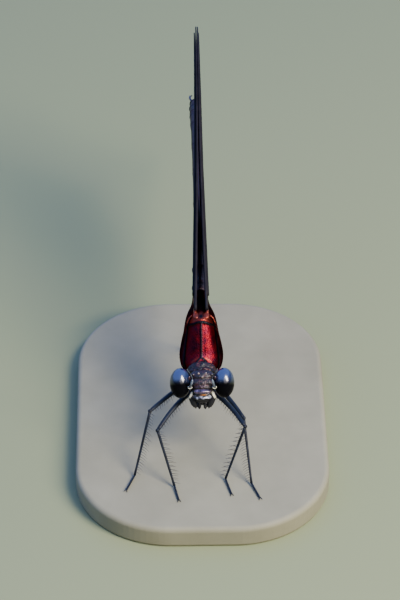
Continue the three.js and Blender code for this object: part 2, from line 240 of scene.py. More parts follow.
def rod(path, radii, sides, flat=1.0):
    """A tapered rod along a path, with a radius at each point, flattened across by a share."""
    path = np.asarray(path, float)
    radii = np.broadcast_to(np.asarray(radii, float), (len(path),))
    steps = np.gradient(path, axis=0)
    steps /= np.linalg.norm(steps, axis=1)[:, None]
    across = np.cross(steps[0], [0.0, 0.0, 1.0] if abs(steps[0][2]) < 0.9 else [1.0, 0.0, 0.0])
    rings = []
    for point, along, radius in zip(path, steps, radii):
        across = across - along * np.dot(across, along)
        across /= np.linalg.norm(across)
        upright = np.cross(along, across)
        turns = np.linspace(0, 2 * math.pi, sides, endpoint=False)[:, None]
        rings.append(point + radius * (np.cos(turns) * across + flat * np.sin(turns) * upright))
    return skin_of(rings)


SMALL_GRID = (20, 12)  # points around a ball, and its levels
HINGE_GRID = (24, 14)
EYE_GRID = (96, 64)


def ball(place, middle, radii, around=32, levels=18):
    """An ellipsoid in the directions of place."""
    rings = []
    for level in np.linspace(0.04, math.pi - 0.04, levels):
        turns = np.linspace(0, 2 * math.pi, around, endpoint=False)
        side = middle[0] + radii[0] * np.cos(level)
        forward = middle[1] + radii[1] * np.sin(level) * np.cos(turns)
        up = middle[2] + radii[2] * np.sin(level) * np.sin(turns)
        rings.append(place(np.full_like(turns, side), forward, up))
    return skin_of(rings)


def balls(place, rows, sign=1, around=32, levels=18):
    """Ellipsoids on one side of the body, from rows of a middle and three radii."""
    return [ball(place, (side * sign, *rest), radii, around, levels) for (side, *rest), radii in rows]


def horn(place, rows, sign, sides):
    """A tapered rod on one side of the body, from rows of side, forward, up and radius."""
    side, forward, up, radii = np.asarray(rows, float).T
    return rod(place(side * sign, forward, up), radii, sides)


def beyond(origin):
    """A function that places points by their distances along the axes from an origin."""
    return lambda x, y, z: np.stack([x, y, z], -1) + origin


def smooth_table(rows, at):
    """Rows of sizes at stations, read smoothly at the given stations."""
    rows = np.asarray(rows, float)
    stations = rows[:, 0]
    slopes = np.gradient(rows[:, 1:], stations, axis=0)
    k = np.clip(np.searchsorted(stations, at, side="right") - 1, 0, len(stations) - 2)
    gap = stations[k + 1] - stations[k]
    t = ((at - stations[k]) / gap)[:, None]
    h = gap[:, None]
    return (
        (2 * t**3 - 3 * t**2 + 1) * rows[k, 1:]
        + (t**3 - 2 * t**2 + t) * h * slopes[k]
        + (3 * t**2 - 2 * t**3) * rows[k + 1, 1:]
        + (t**3 - t**2) * h * slopes[k + 1]
    )


def fused(parts, voxel, settle=3):
    """One smooth closed mesh from overlapping ones, in millimetres."""
    points, faces = joined(parts)
    mesh = bpy.data.meshes.new("fusing")
    mesh.from_pydata(points.tolist(), [], faces)
    piece = placed("fusing", mesh)
    remesh = piece.modifiers.new("one skin", "REMESH")
    remesh.mode = "VOXEL"
    remesh.voxel_size = voxel
    relax = piece.modifiers.new("relax", "SMOOTH")
    relax.factor = 0.5
    relax.iterations = settle
    made = bpy.data.meshes.new_from_object(piece.evaluated_get(bpy.context.evaluated_depsgraph_get()))
    points = np.array([v.co for v in made.vertices])
    faces = [list(p.vertices) for p in made.polygons]
    bpy.data.objects.remove(piece)
    bpy.data.meshes.remove(mesh)
    bpy.data.meshes.remove(made)
    return points, faces


def line_mask(a, b, start, end, width):
    """1 on a straight line in a plane, falling to 0 at a width from it."""
    start, end = np.array(start, float), np.array(end, float)
    along = end - start
    t = np.clip(((a - start[0]) * along[0] + (b - start[1]) * along[1]) / (along @ along), 0, 1)
    away = np.hypot(a - start[0] - t * along[0], b - start[1] - t * along[1])
    fall = np.clip(1 - away / width, 0, 1)
    return fall * fall * (3 - 2 * fall)


def line_masks(a, b, lines):
    """The strongest of several lines, each given by its two ends and its width."""
    return np.maximum.reduce([line_mask(a, b, *line) for line in lines])


def blotches(points, scale, shift=(0, 0, 0)):
    """Noise from -1 to 1 at points, its scale per millimetre."""
    return np.array([noise.noise(Vector(p) * scale + Vector(shift)) for p in points])


def roughened(points, core, scale, depth):
    """Points pushed away from a core by fine noise."""
    made = []
    for point in points:
        grain = noise.fractal(Vector(point) * scale, 0.8, 2.0, 4)
        made.append(point + (point - core) / np.linalg.norm(point - core) * depth * grain)
    return np.array(made)


def new_material(name, base, metallic=0.0, roughness=0.4, coat=0.0, specular=0.5):
    """A named material, its shader and its node tree."""
    material = bpy.data.materials.new(name)
    material.use_nodes = True
    tree = material.node_tree
    shader = tree.nodes["Principled BSDF"]
    shader.inputs["Base Color"].default_value = (*base, 1.0)
    shader.inputs["Metallic"].default_value = metallic
    shader.inputs["Roughness"].default_value = roughness
    shader.inputs["Coat Weight"].default_value = coat
    shader.inputs["Coat Roughness"].default_value = 0.12
    shader.inputs["Specular IOR Level"].default_value = specular
    return material, shader, tree


def shader_of(material):
    """The shader that gives a material its looks."""
    return material.node_tree.nodes["Principled BSDF"]


def millimetre_texture(tree, kind, scale):
    """A texture whose scale counts per millimetre."""
    where = tree.nodes.new("ShaderNodeTexCoord")
    mapping = tree.nodes.new("ShaderNodeMapping")
    mapping.inputs["Scale"].default_value = (1 / MM, 1 / MM, 1 / MM)
    texture = tree.nodes.new(kind)
    texture.inputs["Scale"].default_value = scale
    tree.links.new(where.outputs["Object"], mapping.inputs["Vector"])
    tree.links.new(mapping.outputs["Vector"], texture.inputs["Vector"])
    return texture


def millimetre_noise(tree, scale, detail=4.0):
    """Cloudy tones from 0 to 1."""
    texture = millimetre_texture(tree, "ShaderNodeTexNoise", scale)
    texture.inputs["Detail"].default_value = detail
    return texture.outputs["Fac"]


def millimetre_cells(tree, scale):
    """Round cells, each rising from its middle."""
    return millimetre_texture(tree, "ShaderNodeTexVoronoi", scale).outputs["Distance"]


def ramp(tree, source, stops):
    """A colour ramp over a value; stops are (place, colour)."""
    node = tree.nodes.new("ShaderNodeValToRGB")
    while len(node.color_ramp.elements) < len(stops):
        node.color_ramp.elements.new(0.5)
    for element, (place, colour) in zip(node.color_ramp.elements, stops):
        element.position = place
        element.color = (*colour, 1.0)
    tree.links.new(source, node.inputs["Fac"])
    return node.outputs["Color"]


def blended(tree, share, low, high):
    """Mixes two colours, or a colour and a socket, by a share."""
    node = tree.nodes.new("ShaderNodeMix")
    node.data_type = "RGBA"
    tree.links.new(share, node.inputs["Factor"])
    for key, value in (("A", low), ("B", high)):
        socket = [s for s in node.inputs if s.name == key and s.type == "RGBA"][0]
        if isinstance(value, bpy.types.NodeSocket):
            tree.links.new(value, socket)
        else:
            socket.default_value = (*value, 1.0)
    return [s for s in node.outputs if s.type == "RGBA"][0]


def attribute(tree, name):
    """A value that the mesh carries at its points."""
    node = tree.nodes.new("ShaderNodeAttribute")
    node.attribute_name = name
    return node.outputs["Fac"]


def bumped(tree, shader, height, strength, depth):
    """Adds relief from a height, depth in millimetres."""
    node = tree.nodes.new("ShaderNodeBump")
    node.inputs["Strength"].default_value = strength
    node.inputs["Distance"].default_value = depth * MM
    tree.links.new(height, node.inputs["Height"])
    tree.links.new(node.outputs["Normal"], shader.inputs["Normal"])


def grained(tree, shader, scale, strength, depth, detail=4.0):
    """Adds relief from cloudy noise, depth in millimetres."""
    bumped(tree, shader, millimetre_noise(tree, scale, detail), strength, depth)


def mapped(tree, source, low, high):
    """A value from 0 to 1 spread between two others."""
    node = tree.nodes.new("ShaderNodeMapRange")
    node.inputs["To Min"].default_value = low
    node.inputs["To Max"].default_value = high
    tree.links.new(source, node.inputs["Value"])
    return node.outputs["Result"]


def speckled(name, low, high, scale, detail=4.0, grain=None, **finish):
    """A material mottled between two colours, each given with its place on the noise."""
    middle = [(a + b) / 2 for a, b in zip(low[1], high[1])]
    material, shader, tree = new_material(name, middle, **finish)
    tone = millimetre_noise(tree, scale, detail)
    tree.links.new(ramp(tree, tone, [low, high]), shader.inputs["Base Color"])
    if grain:
        grained(tree, shader, *grain)
    return material


def marked(name, mark, plain, colour, grain, **finish):
    """A plain material that takes another colour where the mesh carries the mark."""
    material, shader, tree = new_material(name, plain, **finish)
    tree.links.new(blended(tree, attribute(tree, mark), plain, colour), shader.inputs["Base Color"])
    grained(tree, shader, *grain)
    return material


PITS_PER_MM = 9.0
GRAIN = {
    # scale per millimetre, strength, depth in millimetres, and the noise's detail where it is fine
    "cuticle": (14.0, 0.4, 0.02),
    "recess": (12.0, 0.3, 0.02),
    "lip": (6.0, 0.3, 0.03),
    "jaw": (10.0, 0.3, 0.02),
    "leg": (12.0, 0.4, 0.02),
    "wing": (3.0, 0.25, 0.02),
    "paint": (4.0, 0.2, 0.02, 6.0),
}


def copper_plates(name, settings, metallic, coat, roughness):
    """Metallic red cuticle, pitted, with black seams where the mesh carries the value seam."""
    material, shader, tree = new_material(name, settings.copper, metallic, roughness, coat)
    tone = millimetre_noise(tree, 1.6, 6.0)
    colour = ramp(tree, tone, [(0.32, settings.violet), (0.62, settings.copper)])
    colour = blended(tree, attribute(tree, "amber"), colour, settings.rust)
    colour = blended(tree, attribute(tree, "seam"), colour, settings.seam)
    tree.links.new(colour, shader.inputs["Base Color"])
    tree.links.new(mapped(tree, tone, roughness, roughness + 0.22), shader.inputs["Roughness"])
    bumped(tree, shader, millimetre_cells(tree, PITS_PER_MM), strength=0.5, depth=0.04)
    return material


def dark_cuticle(name, settings, tint=(0.05, 0.018, 0.028), roughness=0.3, metallic=0.45):
    """Near-black glossy cuticle with a coppery cast and fine grain."""
    material, shader, tree = new_material(name, tint, metallic, roughness, 0.4)
    tone = millimetre_noise(tree, 3.0, 6.0)
    colour = ramp(tree, tone, [(0.35, settings.seam), (0.68, tint)])
    tree.links.new(colour, shader.inputs["Base Color"])
    tree.links.new(mapped(tree, tone, roughness - 0.08, roughness + 0.12), shader.inputs["Roughness"])
    grained(tree, shader, *GRAIN["cuticle"])
    return material


HEAD_BALLS = [
    ((0, -0.1, 0.0), (1.32, 0.95, 1.2)),
    ((0, 0.0, 0.78), (1.12, 0.72, 0.52)),
    ((0, 0.42, 0.22), (1.16, 0.68, 0.58)),
    ((0, 0.66, -0.02), (0.92, 0.6, 0.4)),
    ((0, 0.1, -1.05), (1.0, 0.8, 0.68)),
]
OCELLUS_BALLS = [
    ((0.34, 0.42, 1.17), (0.1, 0.1, 0.1)),
    ((-0.34, 0.42, 1.17), (0.1, 0.1, 0.1)),
    ((0, 0.78, 0.96), (0.115, 0.115, 0.115)),
]
KNOB_BALLS = [((0.86, 0.34, 1.02), (0.2, 0.14, 0.14)), ((1.2, 0.42, 0.72), (0.12, 0.12, 0.2))]
NOSE_BALLS = [
    ((0, 1.06, -0.33), (0.86, 0.44, 0.28)),
    ((0.42, 1.0, -0.36), (0.42, 0.42, 0.24)),
    ((-0.42, 1.0, -0.36), (0.42, 0.42, 0.24)),
]
RECESS_BALLS = [((0, 0.82, -0.68), (0.8, 0.42, 0.26))]
LIP_BALLS = [
    ((0, 1.1, -1.0), (0.82, 0.4, 0.3)),
    ((0, 0.98, -1.28), (0.66, 0.36, 0.3)),
    ((0.52, 0.98, -0.98), (0.36, 0.34, 0.24)),
    ((-0.52, 0.98, -0.98), (0.36, 0.34, 0.24)),
]
EYE_MIDDLE = (2.05, -0.1, -0.03)
EYE_RADII = (0.97, 1.2, 1.45)
EYE_FACETS_PER_MM = 34.0
UPPER_BACK = np.array([0.0, 0.62, 0.78])  # direction of the eyes' upper half, painted blue and glossy as a painted sky reflection
SOCKET_SPOT = (1.24, 0.5)  # side and up
BROW_CREASE = ((-0.02, 1.2), (-0.3, 1.0), 0.2)  # two ends as (up, forward), width
# silver of the painted highlight along the upper lip
LIP_PAINTED_HIGHLIGHT = (0.42, 0.44, 0.5)
VOXEL = {"skull": 0.045, "face": 0.04, "jaw": 0.03, "hinge": 0.05}  # grid that fuses each


class DEMOISELLE_OT_head(bpy.types.Operator):
    """Skull, ocelli and the plates of the face"""

    bl_idname = "demoiselle.head"
    bl_label = "Head"

    def execute(self, context):
        settings = context.scene.demoiselle_cuticle
        points, faces = fused(balls(head_point, HEAD_BALLS), VOXEL["skull"])
        points = roughened(points, HEAD, scale=5.0, depth=0.03)
        side, forward, up = head_places(points)
        glow = np.clip(1 - np.abs(up - 0.2) / 0.35, 0, 1) * np.clip(1.2 - np.abs(side) / 0.8, 0, 1)
        dark = np.clip(0.95 - 0.28 * glow + 0.35 * blotches(points - HEAD, scale=5.0), 0.5, 0.98)
        crease = line_mask(up, forward, *BROW_CREASE)
        dark = np.maximum.reduce([dark, crease, np.clip((-0.3 - up) / 0.2, 0, 1)])
        away = np.hypot(np.abs(side) - SOCKET_SPOT[0], up - SOCKET_SPOT[1])
        spot = np.clip(1.6 - away / 0.1, 0, 1) * (forward > 0)
        dark *= 1 - spot
        skin = copper_plates("head copper", settings, metallic=0.35, coat=0.05, roughness=0.32)
        add_piece("head_skull", points, faces, skin, "head_cuticle", ["head"], seam=dark, amber=spot)
        self.ocelli(settings)
        self.face(settings)
        return {"FINISHED"}

    def ocelli(self, settings):
        """Three simple eyes and the knobs of the crown."""
        tones = (0.3, (0.05, 0.03, 0.02)), (0.7, (0.28, 0.2, 0.15))
        glass = speckled("ocellus glass", *tones, scale=6.0, roughness=0.08, coat=1.0)
        parts = balls(head_point, OCELLUS_BALLS, 1, *SMALL_GRID)
        add_piece("head_ocelli", *joined(parts), glass, "head_cuticle")
        knobs = []
        for sign in SIDES.values():
            knobs += balls(head_point, KNOB_BALLS, sign, *SMALL_GRID)
        add_piece("head_knobs", *joined(knobs), dark_cuticle("crown knobs", settings), "head_cuticle")

    def face(self, settings):
        """Clypeus, upper lip with its painted silver highlight, and the amber mark between them."""
        nose = fused(balls(head_point, NOSE_BALLS), VOXEL["face"])
        shine = dark_cuticle("face shine", settings, (0.22, 0.15, 0.23), roughness=0.2, metallic=0.7)
        add_piece("face_nose", *nose, shine, "head_cuticle")
        points, faces = fused(balls(head_point, RECESS_BALLS), VOXEL["face"])
        amber = np.clip(1.3 - np.abs(points[:, 0] - HEAD[0] - 0.1) / 0.3, 0, 1)
        finish = {"metallic": 0.1, "roughness": 0.35, "coat": 0.4}
        dull = marked("amber recess", "amber", settings.seam, settings.amber, GRAIN["recess"], **finish)
        add_piece("face_recess", points, faces, dull, "head_cuticle", amber=amber)
        points, faces = fused(balls(head_point, LIP_BALLS), VOXEL["face"])
        side, _, up = head_places(points)
        # painted highlight: a blotchy silver band along the top of the upper lip, brighter on the right where
        # the window light falls
        light = np.clip(1.3 - np.abs(up + 0.84 + 0.12 * blotches(points - HEAD, scale=3.0)) / 0.12, 0, 1)
        light *= np.clip(0.5 + 0.5 * side + 1.5 * blotches(points - HEAD, 4.5, (3, 1, 2)), 0.08, 1)
        finish = {"metallic": 0.4, "roughness": 0.22, "specular": 0.35}
        lip_highlight = marked("lip painted highlight", "sheen", settings.seam, LIP_PAINTED_HIGHLIGHT, GRAIN["lip"], **finish)
        add_piece("face_upper_lip", points, faces, lip_highlight, "head_cuticle", sheen=light)


class DEMOISELLE_OT_eyes(bpy.types.Operator):
    """Two bulging compound eyes"""

    bl_idname = "demoiselle.eyes"
    bl_label = "Eyes"

    def execute(self, context):
        base = (0.004, 0.004, 0.006)
        material, shader, tree = new_material("compound eye", base, roughness=0.2, specular=0.8)
        shader.inputs["IOR"].default_value = 1.65
        # painted sky reflection: the upper half of each eye is tinted blue and kept glossy, the lower half
        # near black and almost without gloss as painted shade
        height = attribute(tree, "above")
        tone = ramp(tree, height, [(0.2, (0.002, 0.002, 0.003)), (1.0, (0.012, 0.022, 0.07))])
        tree.links.new(tone, shader.inputs["Base Color"])
        gleam = ramp(tree, height, [(0.0, (0.02, 0.02, 0.02)), (0.8, (1.0, 1.0, 1.0))])
        tree.links.new(gleam, shader.inputs["Specular IOR Level"])
        bumped(tree, shader, millimetre_cells(tree, EYE_FACETS_PER_MM), strength=0.005, depth=0.004)
        for side, sign in SIDES.items():
            middle = (EYE_MIDDLE[0] * sign, *EYE_MIDDLE[1:])
            points, faces = ball(head_point, middle, EYE_RADII, *EYE_GRID)
            local = points - head_point(*middle)
            # share of the painted sky reflection at each point, rising towards the upper back
            above = np.clip((local @ UPPER_BACK + 0.2) / 0.75, 0, 1)
            add_piece(f"eye_{side}_facets", points, faces, material, "eye", [f"eye_{side}"], above=above)
        return {"FINISHED"}


FEELER_JOINTS = [
    # side, forward, up, radius
    (1.12, 0.95, 0.06, 0.13),
    (1.1, 1.12, 0.22, 0.14),
    (1.06, 1.24, 0.42, 0.1),
    (1.0, 1.34, 0.62, 0.115),
    (0.94, 1.4, 0.86, 0.1),
    (0.92, 1.44, 1.02, 0.05),
]
FEELER_BRISTLE = [
    (0.92, 1.44, 1.0, 0.035),
    (0.96, 1.52, 1.3, 0.026),
    (1.08, 1.6, 1.62, 0.02),
    (1.26, 1.66, 1.92, 0.015),
    (1.45, 1.7, 2.2, 0.008),
]
SOCKET_MIDDLE = (1.14, 0.98, 0.02)
SOCKET_RADIUS = 0.17
SOCKET_THICKNESS = 0.042


class DEMOISELLE_OT_antennae(bpy.types.Operator):
    """Feelers: a pale socket ring, two stout joints and a bristle"""

    bl_idname = "demoiselle.antennae"
    bl_label = "Antennae"

    def execute(self, context):
        settings = context.scene.demoiselle_cuticle
        blue = dark_cuticle("feeler", settings, (0.2, 0.25, 0.32), roughness=0.28, metallic=0.3)
        tones = (0.3, settings.spot), (0.7, (0.7, 0.7, 0.6))
        pale = speckled("pale ring", *tones, scale=5.0, roughness=0.35, coat=0.3)
        turns = np.linspace(math.radians(170), math.radians(395), 22)
        out = SOCKET_MIDDLE[0] + SOCKET_RADIUS * np.cos(turns)
        forward = SOCKET_MIDDLE[1] + 0.05 * np.sin(turns)
        up = SOCKET_MIDDLE[2] + SOCKET_RADIUS * np.sin(turns)
        for side, sign in SIDES.items():
            parts = [horn(head_point, FEELER_JOINTS, sign, 16), horn(head_point, FEELER_BRISTLE, sign, 8)]
            add_piece(f"antenna_{side}_joints", *joined(parts), blue, "antenna", [f"antenna_{side}"])
            ring = rod(head_point(out * sign, forward, up), SOCKET_THICKNESS, 8)
            add_piece(f"antenna_{side}_socket", *ring, pale, "antenna")
        return {"FINISHED"}


JAW_ROWS = [
    # share of the length, side, forward, up, radius
    (0.0, 1.02, 0.5, -0.62, 0.24),
    (0.25, 0.98, 0.6, -1.05, 0.34),
    (0.5, 0.84, 0.66, -1.45, 0.36),
    (0.75, 0.74, 0.72, -1.82, 0.29),
    (1.0, 0.54, 0.78, -2.14, 0.13),
]
JAW_TEETH = [
    # for each its root and tip as side, forward, up, radius
    [(0.84, 0.72, -1.7, 0.14), (0.84, 0.84, -2.1, 0.03)],
    [(0.6, 0.72, -1.95, 0.14), (0.6, 0.84, -2.27, 0.03)],
]
PALPS = [
    # the outer pair's rows, then the inner pair's, as side, forward, up, radius
    [(0.3, 0.2, -1.9, 0.22), (0.32, 0.55, -2.14, 0.17), (0.26, 0.78, -2.3, 0.06)],
    [(0.3, 0.75, -1.45, 0.22), (0.24, 0.84, -1.85, 0.15), (0.15, 0.84, -2.16, 0.03)],
]
LOWER_LIP = ((0, -0.1, -1.92), (0.72, 0.6, 0.3))
PALE_LINE = ((0.96, -0.66), (1.2, -1.08), 0.13)  # at the jaw's root: two ends as (side, up), width


class DEMOISELLE_OT_mouth(bpy.types.Operator):
    """Jaws, palps and lower lip"""

    bl_idname = "demoiselle.mouth"
    bl_label = "Mouth"

    def execute(self, context):
        settings = context.scene.demoiselle_cuticle
        finish = {"metallic": 0.1, "roughness": 0.26, "coat": 0.1, "specular": 0.22}
        black = marked("jaw", "pale", settings.seam, settings.spot, GRAIN["jaw"], **finish)
        rows = smooth_table(JAW_ROWS, np.linspace(0, 1, 26))
        for side, sign in SIDES.items():
            parts = [horn(head_point, rows, sign, 28)]
            parts += [horn(head_point, tooth, sign, 14) for tooth in JAW_TEETH]
            points, faces = fused(parts, VOXEL["jaw"], settle=5)
            out, _, up = head_places(points)
            pale = np.clip(1.5 * line_mask(np.abs(out), up, *PALE_LINE), 0, 1)
            nodes = [f"mandible_{side}"]
            add_piece(f"mandible_{side}_horn", points, faces, black, "mouthparts", nodes, pale=pale)
        parts = [horn(head_point, palp, sign, 14) for sign in SIDES.values() for palp in PALPS]
        points, faces = joined([*parts, ball(head_point, *LOWER_LIP)])
        add_piece("labium_palps", points, faces, black, "mouthparts", ["labium"], pale=np.zeros(len(points)))
        return {"FINISHED"}


THORAX_ROWS = [
    # back, top, bottom, half width, roof
    (2.55, -0.3, -2.0, 1.15, 0.0),
    (3.0, -0.15, -2.5, 1.55, 0.05),
    (3.4, 0.1, -2.85, 1.86, 0.15),
    (3.9, 0.6, -3.15, 2.02, 0.28),
    (4.5, 1.2, -3.42, 2.08, 0.36),
    (5.2, 1.85, -3.55, 2.0, 0.36),
    (5.9, 2.32, -3.5, 1.86, 0.26),
    (6.6, 2.4, -3.35, 1.7, 0.12),
    (7.4, 2.2, -3.1, 1.58, 0.04),
    (8.2, 1.95, -2.85, 1.42, 0.0),
    (9.0, 1.65, -2.6, 1.14, 0.0),
    (9.9, 1.2, -2.25, 0.92, 0.0),
    (10.8, 0.6, -1.9, 0.8, 0.0),
    (11.75, 0.05, -1.55, 0.72, 0.0),
]
RIDGE_LINES = [
    # two ends as (side, back), width
    ((0, 3.15), (0, 5.6), 0.15),
    ((0, 3.2), (0.42, 2.85), 0.15),
    ((0.08, 5.62), (0.75, 5.62), 0.16),
    ((0.75, 5.62), (1.35, 6.0), 0.16),
]
SIDE_SEAMS = [
    # two ends as (back, up), width
    ((3.05, -1.2), (6.6, 1.75), 0.26),
    ((4.7, -3.0), (7.9, 1.7), 0.16),
    ((6.8, -3.1), (9.9, 1.1), 0.16),
]
FLANK_STRIPE = ((4.2, -1.6), (7.4, 0.9), 0.3)  # lighter, with its ends as the seams'
WARM_EDGE = ((0.35, 3.15), (0.9, 2.95), 0.16)  # rust at the plates' front, its ends as the ridge's
WARM_BACK = (5.7, 7.0)  # the back is rust between these
WING_DOT_BACK = 6.22  # middle of the dark dot before the wings
WING_DOT_RADIUS = 0.24
COLLAR_FROM = 2.85  # the skin before this is dark
COLLAR_ROWS = [
    # back, top, bottom, half width, roof
    (0.55, 0.1, -0.75, 0.45, 0.0),
    (1.15, -0.05, -1.1, 0.62, 0.0),
    (1.4, 0.0, -1.55, 0.95, 0.0),
    (1.65, 0.2, -1.85, 1.3, 0.0),
    (1.95, 0.05, -2.0, 1.4, 0.0),
    (2.2, 0.15, -2.1, 1.42, 0.0),
    (2.5, 0.12, -2.1, 1.3, 0.0),
    (2.8, -0.1, -2.1, 1.1, 0.0),
]
COLLAR_CORE = body_point(0, 1.9, -0.95)
HINGE_BALLS = [
    ((0.48, 6.4, 2.27), (0.3, 0.42, 0.14)),
    ((0.58, 7.0, 2.2), (0.15, 0.55, 0.26)),
    ((0.56, 8.8, 1.66), (0.16, 0.6, 0.3)),
]
HINGE_RIDGE = [(0.85, 6.7, 1.98, 0.08), (1.14, 6.55, 1.73, 0.08), (1.38, 6.2, 1.34, 0.04)]


def body_skin(rows, steps, around):
    """Distances to the side, tailwards and up for the points of a skin, from a table of sections."""
    stations = np.linspace(rows[0][0], rows[-1][0], steps)
    top, bottom, half, roof = smooth_table(rows, stations).T
    turns = np.linspace(0, 2 * math.pi, around, endpoint=False)
    rise = np.cos(turns)[None, :]
    swing = np.sin(turns)[None, :]
    slope = np.where(rise > 0, 1 - roof[:, None] * rise * np.abs(swing), 1.0)
    side = half[:, None] * swing * slope
    up = (top + bottom)[:, None] / 2 + (top - bottom)[:, None] / 2 * rise
    back = np.broadcast_to(stations[:, None], side.shape)
    return side, back, up


class DEMOISELLE_OT_thorax(bpy.types.Operator):
    """Chest plates with their ridge and seams, the collar and the wing hinges"""

    bl_idname = "demoiselle.thorax"
    bl_label = "Thorax"

    def execute(self, context):
        settings = context.scene.demoiselle_cuticle
        side, back, up = body_skin(THORAX_ROWS, steps=170, around=144)
        ridge = line_masks(np.abs(side), back, RIDGE_LINES) * (up > -1.0)
        seam = line_masks(back, up, SIDE_SEAMS) * (np.abs(side) > 0.35)
        middle = (up.max(1) + up.min(1))[:, None] / 2
        swell = 1 + 0.05 * ridge - 0.03 * seam
        rings = body_point(side * swell, back, middle + (up - middle) * swell)
        collar = np.clip((COLLAR_FROM - back) / 0.1, 0, 1) * 0.9
        dot = np.clip(1.5 - np.hypot(side, back - WING_DOT_BACK) / WING_DOT_RADIUS, 0, 1) * (up > 0)
        shades = [ridge * 1.8, seam * 1.8, self.flank(back, up), collar, dot]
        dark = np.append(np.clip(np.maximum.reduce(shades), 0, 1).ravel(), [0.5, 1.0])
        first, last = WARM_BACK
        warm = np.clip((back - first) / 0.15, 0, 1) * np.clip((last - back) / 0.3, 0, 1) * (up > 0.4)
        warm = np.maximum(warm, 0.8 * line_mask(np.abs(side), back, *WARM_EDGE) * (up > -1))
        warm = np.append((warm * 0.45).ravel(), [0, 0])
        skin = copper_plates("chest copper", settings, metallic=1.0, coat=0.0, roughness=0.24)
        shader_of(skin).inputs["Specular Tint"].default_value = (0.35, 0.1, 0.12, 1.0)
        points, faces = skin_of(rings)
        add_piece("thorax_plates", points, faces, skin, "thorax_cuticle", ["thorax"], seam=dark, amber=warm)
        self.collar(settings)
        self.hinges(settings)
        return {"FINISHED"}

    def flank(self, back, up):
        """How dark the sides are below the first seam, with a lighter stripe."""
        (back_1, up_1), (back_2, up_2), _ = SIDE_SEAMS[0]
        below = up_1 + (back - back_1) * (up_2 - up_1) / (back_2 - back_1) - up
        flank = np.clip(below / 0.25, 0, 1) * 0.66 + np.clip((below - 1.2) / 1.5, 0, 1) * 0.15
        return np.clip(flank - 0.35 * line_mask(back, up, *FLANK_STRIPE), 0, 1)

    def collar(self, settings):
        """The rough, folded collar between the chest and the head."""
        side, back, up = body_skin(COLLAR_ROWS, steps=110, around=170)
        points, faces = skin_of(body_point(side, back, up))
        points = roughened(points, COLLAR_CORE, scale=3.5, depth=0.07)
        dark = np.clip(0.93 + 0.4 * blotches(points, scale=2.5), 0.62, 1.0)
        skin = copper_plates("collar copper", settings, metallic=0.5, coat=0.0, roughness=0.3)
        add_piece("prothorax_collar", points, faces, skin, "thorax_cuticle", ["prothorax"], seam=dark)

    def hinges(self, settings):
        """Small plates at the wing roots."""
        plates = []
        for sign in SIDES.values():
            plates += balls(body_point, HINGE_BALLS, sign, *HINGE_GRID)
            plates.append(horn(body_point, HINGE_RIDGE, sign, 12))
        points, faces = fused(plates, VOXEL["hinge"])
        behind = np.clip((points[:, 1] - HEAD[1] - 6.6) / 0.8, 0, 1)
        dark = np.clip(0.2 + 0.5 * behind + 0.6 * blotches(points, scale=2.2), 0, 1)
        warm = 0.65 - 0.4 * behind
        skin = copper_plates("wing root", settings, metallic=0.75, coat=0.0, roughness=0.3)
        add_piece("thorax_wing_hinges", points, faces, skin, "thorax_cuticle", seam=dark, amber=warm)


LEGS = {
    # hip, knee, ankle and toe from the middle of the head, ankles and toes on the soles' level
    "front_leg_left": ((0.7, 2.0, -2.3), (3.96, -2.94, -2.87), (2.13, -4.24), (2.66, -6.33)),
    "front_leg_right": ((-0.7, 2.0, -2.3), (-4.2, -2.65, -3.5), (-2.68, -5.14), (-2.28, -7.1)),
    "middle_leg_left": ((1.0, 4.1, -3.1), (3.89, -1.1, -3.4), (4.55, -4.9), (5.3, -6.9)),
    "middle_leg_right": ((-1.0, 4.1, -3.1), (-4.9, -0.55, -2.9), (-6.4, -3.6), (-7.2, -5.6)),
    "hind_leg_left": ((0.9, 6.1, -3.3), (1.4, 12.2, -2.7), (1.65, 15.0), (1.65, 17.1)),
    "hind_leg_right": ((-0.9, 6.1, -3.3), (-1.25, 12.2, -2.7), (-1.45, 15.3), (-1.4, 17.4)),
}
BASE_TOP_FROM_HEAD = -HEAD_ABOVE_SOLES - SOLE_GAP
COXA_RADII = [0.55, 0.46, 0.27]
TROCHANTER_RADII = [0.24, 0.27, 0.22]
HIP_TO_BODY = (-0.15, 0.45, 1.5)  # outwards, back, up
THIGH_BOW = {"front": (0.2, 0.17), "middle": (0.1, 0.1), "hind": (0.1, 0.1)}  # outwards and up
THIGH_STEPS, SHIN_STEPS = 14, 12
ANKLE_RISE = 0.12
FOOT_RADIUS = 0.1
FOOT_CUTS = [0.0, 0.22, 0.5, 0.93]
TOE_RADII = [0.075, 0.095, 0.1, 0.08]
THIGH_SHAPE = ([0, 0.15, 0.6, 0.93, 1], [1.15, 1.2, 0.95, 0.85, 0.7])  # along, share of the radius
SHIN_SHAPE = ([0, 0.1, 0.9, 1], [1.1, 1.0, 0.82, 0.95])
CLAW_ROWS = [
    # side, forward, up, radius
    (0.0, -0.2, 0.0, 0.05),
    (0.07, -0.02, 0.04, 0.045),
    (0.14, 0.12, 0.0, 0.03),
    (0.15, 0.16, -0.08, 0.008),
]
BRISTLE_RADII = [0.03, 0.021, 0.005]
PATCH = 0.003  # size of one bristle on the unwrap of its limb


